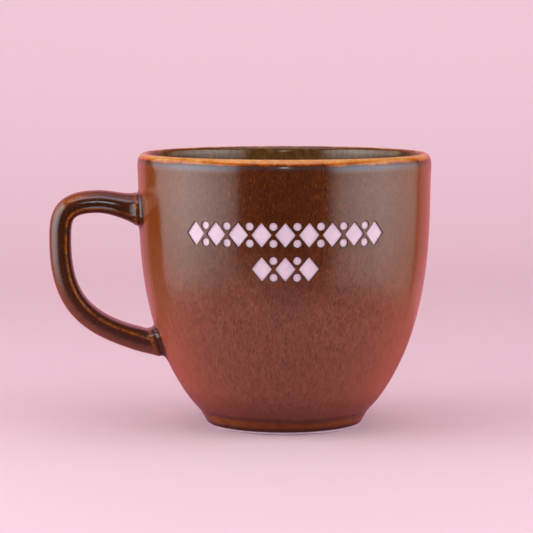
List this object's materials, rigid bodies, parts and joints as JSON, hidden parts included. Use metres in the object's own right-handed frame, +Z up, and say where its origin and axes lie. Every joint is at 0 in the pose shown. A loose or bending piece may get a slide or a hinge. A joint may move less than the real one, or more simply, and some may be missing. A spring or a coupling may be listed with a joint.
{
  "type": "mug",
  "caption": "Round-bellied stoneware mug with a strap handle, brown glaze that breaks to amber on the lip, and a bare clay geometric motif.",
  "frame": {"origin": "on the table, at the middle of the mug's footprint, handle included; the cup's own axis is 13.6 mm from it towards +X", "axes": "+Z up through the open mouth, -X towards the handle; the motif faces -Y, turned 5 degrees towards the handle"},
  "size_m": [0.1192, 0.092, 0.0851],
  "materials": {
    "bare_clay": "matte, unglazed, fine grained",
    "handle_clay": "matte, unglazed, fine grained",
    "slip": "matte, slightly coarse",
    "brown_glaze": "satin gloss, brown with fine red and grey vertical flecks",
    "amber_glaze": "gloss, thin and translucent, amber over pale clay",
    "liner_glaze": "gloss, olive brown",
    "handle_glaze": "gloss, dark brown, breaking to amber on the ridges"
  },
  "bodies": {
    "root": {"cup_body": "bare_clay", "handle": "handle_clay", "upper_slip_joint": "slip", "lower_slip_joint": "slip", "outer_glaze": "brown_glaze", "rim_glaze": "amber_glaze", "liner_glaze": "liner_glaze", "foot_well_glaze": "liner_glaze", "handle_glaze": "handle_glaze"}
  },
  "joints": []
}
